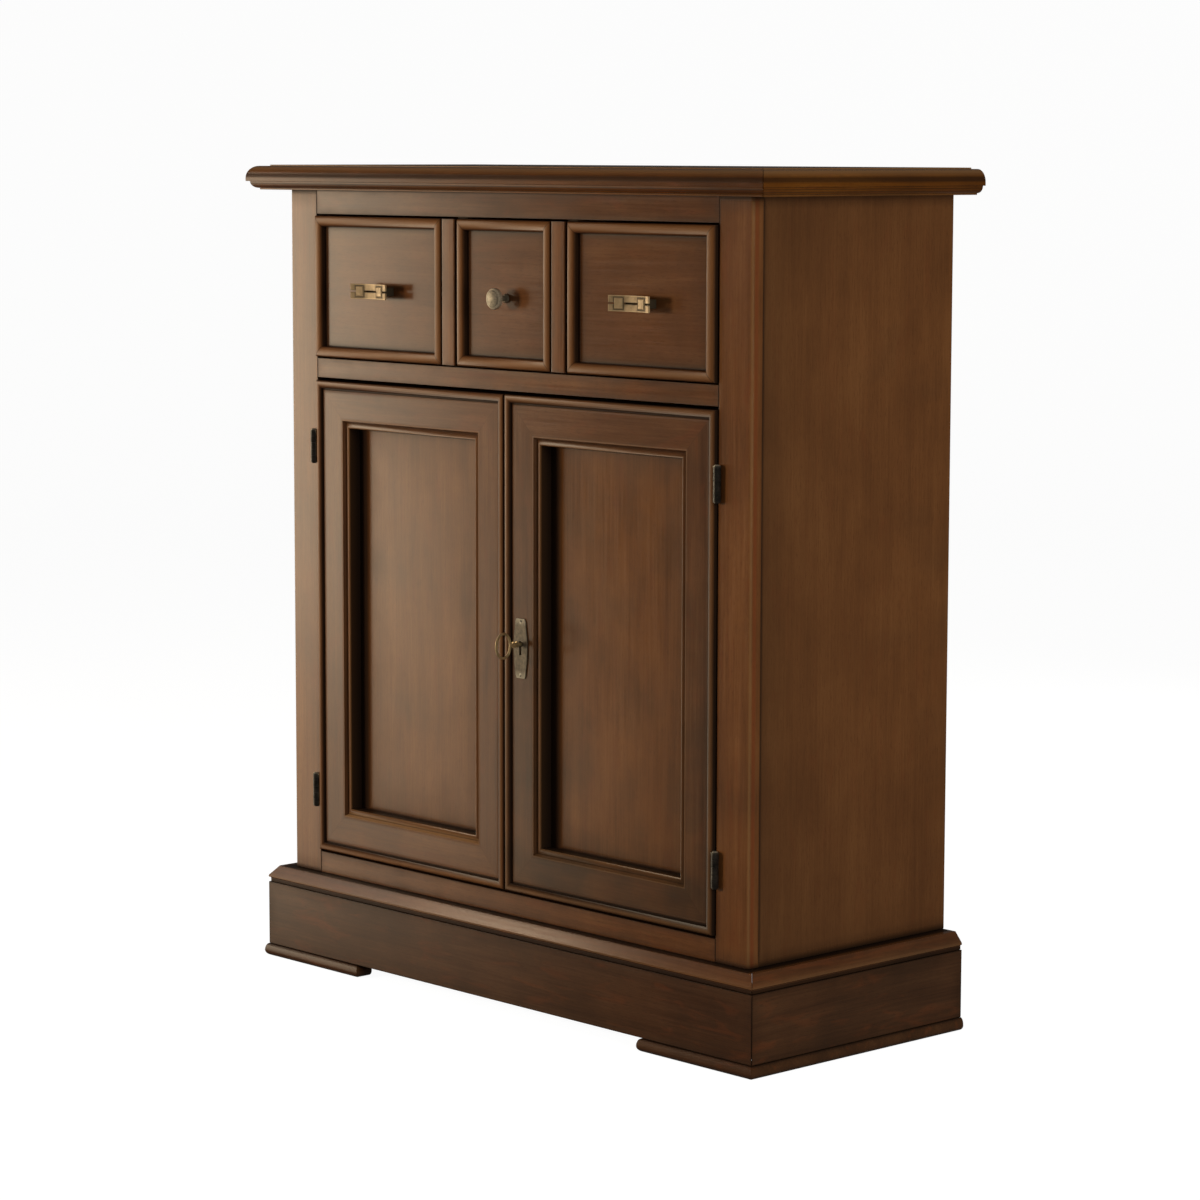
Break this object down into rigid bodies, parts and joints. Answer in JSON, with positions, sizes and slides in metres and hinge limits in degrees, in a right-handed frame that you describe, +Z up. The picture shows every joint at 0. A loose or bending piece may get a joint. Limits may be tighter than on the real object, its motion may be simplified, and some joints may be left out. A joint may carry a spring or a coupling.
{
  "type": "credenza",
  "caption": "Free-standing wooden cabinet with a moulded top, drawers above hinged panelled doors with a lock and key, a shelf inside and a moulded plinth.",
  "frame": {"origin": "on the floor under the middle of the whole piece, the top's overhang and the key counted", "axes": "+X to the right seen from the front, +Y towards the back, +Z up; the doors and drawers face -Y"},
  "size_m": [0.9032, 0.367, 1],
  "materials": {
    "walnut": "walnut stain under satin lacquer, dark glaze in the recesses",
    "oak": "planed, thin matt lacquer",
    "plywood": "sanded, thin matt lacquer",
    "aged_brass": "aged, rubbed on the edges",
    "pewter_brass": "aged, greyed",
    "dark_bronze": "oil darkened",
    "steel": "plain, slightly dulled"
  },
  "bodies": {
    "case": {"front_stile_left": "walnut", "front_stile_right": "walnut", "side_panel_left": "walnut", "side_panel_right": "walnut", "top_rail": "walnut", "middle_rail": "walnut", "bottom_rail": "walnut", "cabinet_floor": "oak", "shelf": "oak", "back_panel": "plywood", "drawer_deck": "oak", "drawer_partition_left": "oak", "drawer_partition_right": "oak", "drawer_divider_left": "walnut", "drawer_divider_right": "walnut", "top_front_moulding": "walnut", "top_moulding_left": "walnut", "top_moulding_right": "walnut", "top_panel": "walnut", "plinth_front": "walnut", "plinth_side_left": "walnut", "plinth_side_right": "walnut", "plinth_back": "walnut", "plinth_cap_front": "walnut", "plinth_cap_left": "walnut", "plinth_cap_right": "walnut", "base_moulding_left": "walnut", "base_moulding_right": "walnut", "hinge_pin_leaf_upper_left": "dark_bronze", "hinge_pin_leaf_upper_right": "dark_bronze", "hinge_pin_leaf_lower_left": "dark_bronze", "hinge_pin_leaf_lower_right": "dark_bronze"},
    "drawer_left": {"drawer_front_left": "walnut", "drawer_tray_left": "oak", "drawer_bottom_left": "plywood", "drawer_pull_left": "aged_brass"},
    "drawer_centre": {"drawer_front_centre": "walnut", "drawer_tray_centre": "oak", "drawer_bottom_centre": "plywood", "drawer_knob": "pewter_brass"},
    "drawer_right": {"drawer_front_right": "walnut", "drawer_tray_right": "oak", "drawer_bottom_right": "plywood", "drawer_pull_right": "aged_brass"},
    "door_left": {"door_frame_left": "walnut", "door_panel_left": "walnut", "hinge_door_leaf_upper_left": "dark_bronze", "hinge_door_leaf_lower_left": "dark_bronze", "strike_plate": "steel", "bolt_plate": "steel"},
    "door_right": {"door_frame_right": "walnut", "door_panel_right": "walnut", "hinge_door_leaf_upper_right": "dark_bronze", "hinge_door_leaf_lower_right": "dark_bronze", "escutcheon": "pewter_brass", "lock_case": "steel"},
    "key": {"key": "aged_brass"},
    "lock_bolt": {"lock_bolt": "steel"},
    "door_bolt": {"door_bolt": "steel"}
  },
  "joints": [
    {"name": "drawer_left_slide", "type": "slide", "parent": "case", "child": "drawer_left", "axis": [0, -1, 0], "range_m": [0, 0.2]},
    {"name": "drawer_centre_slide", "type": "slide", "parent": "case", "child": "drawer_centre", "axis": [0, -1, 0], "range_m": [0, 0.2]},
    {"name": "drawer_right_slide", "type": "slide", "parent": "case", "child": "drawer_right", "axis": [0, -1, 0], "range_m": [0, 0.2]},
    {"name": "door_left_hinge", "type": "hinge", "parent": "case", "child": "door_left", "pos_m": [-0.3555, -0.146, 0.441], "axis": [0, 0, -1], "range_deg": [0, 165]},
    {"name": "door_right_hinge", "type": "hinge", "parent": "case", "child": "door_right", "pos_m": [0.3555, -0.146, 0.441], "axis": [0, 0, 1], "range_deg": [0, 165]},
    {"name": "key_turn", "type": "hinge", "parent": "door_right", "child": "key", "pos_m": [0.0277, -0.1415, 0.4435], "axis": [0, 1, 0], "range_deg": [0, 90]},
    {"name": "lock_bolt_slide", "type": "slide", "parent": "door_right", "child": "lock_bolt", "axis": [-1, 0, 0], "range_m": [0, 0.01]},
    {"name": "door_bolt_slide", "type": "slide", "parent": "door_left", "child": "door_bolt", "axis": [0, 0, 1], "range_m": [0, 0.018]}
  ],
  "couplings": [
    {"joint": "lock_bolt_slide", "follows": "key_turn", "m_per_rad": 0.006366}
  ]
}
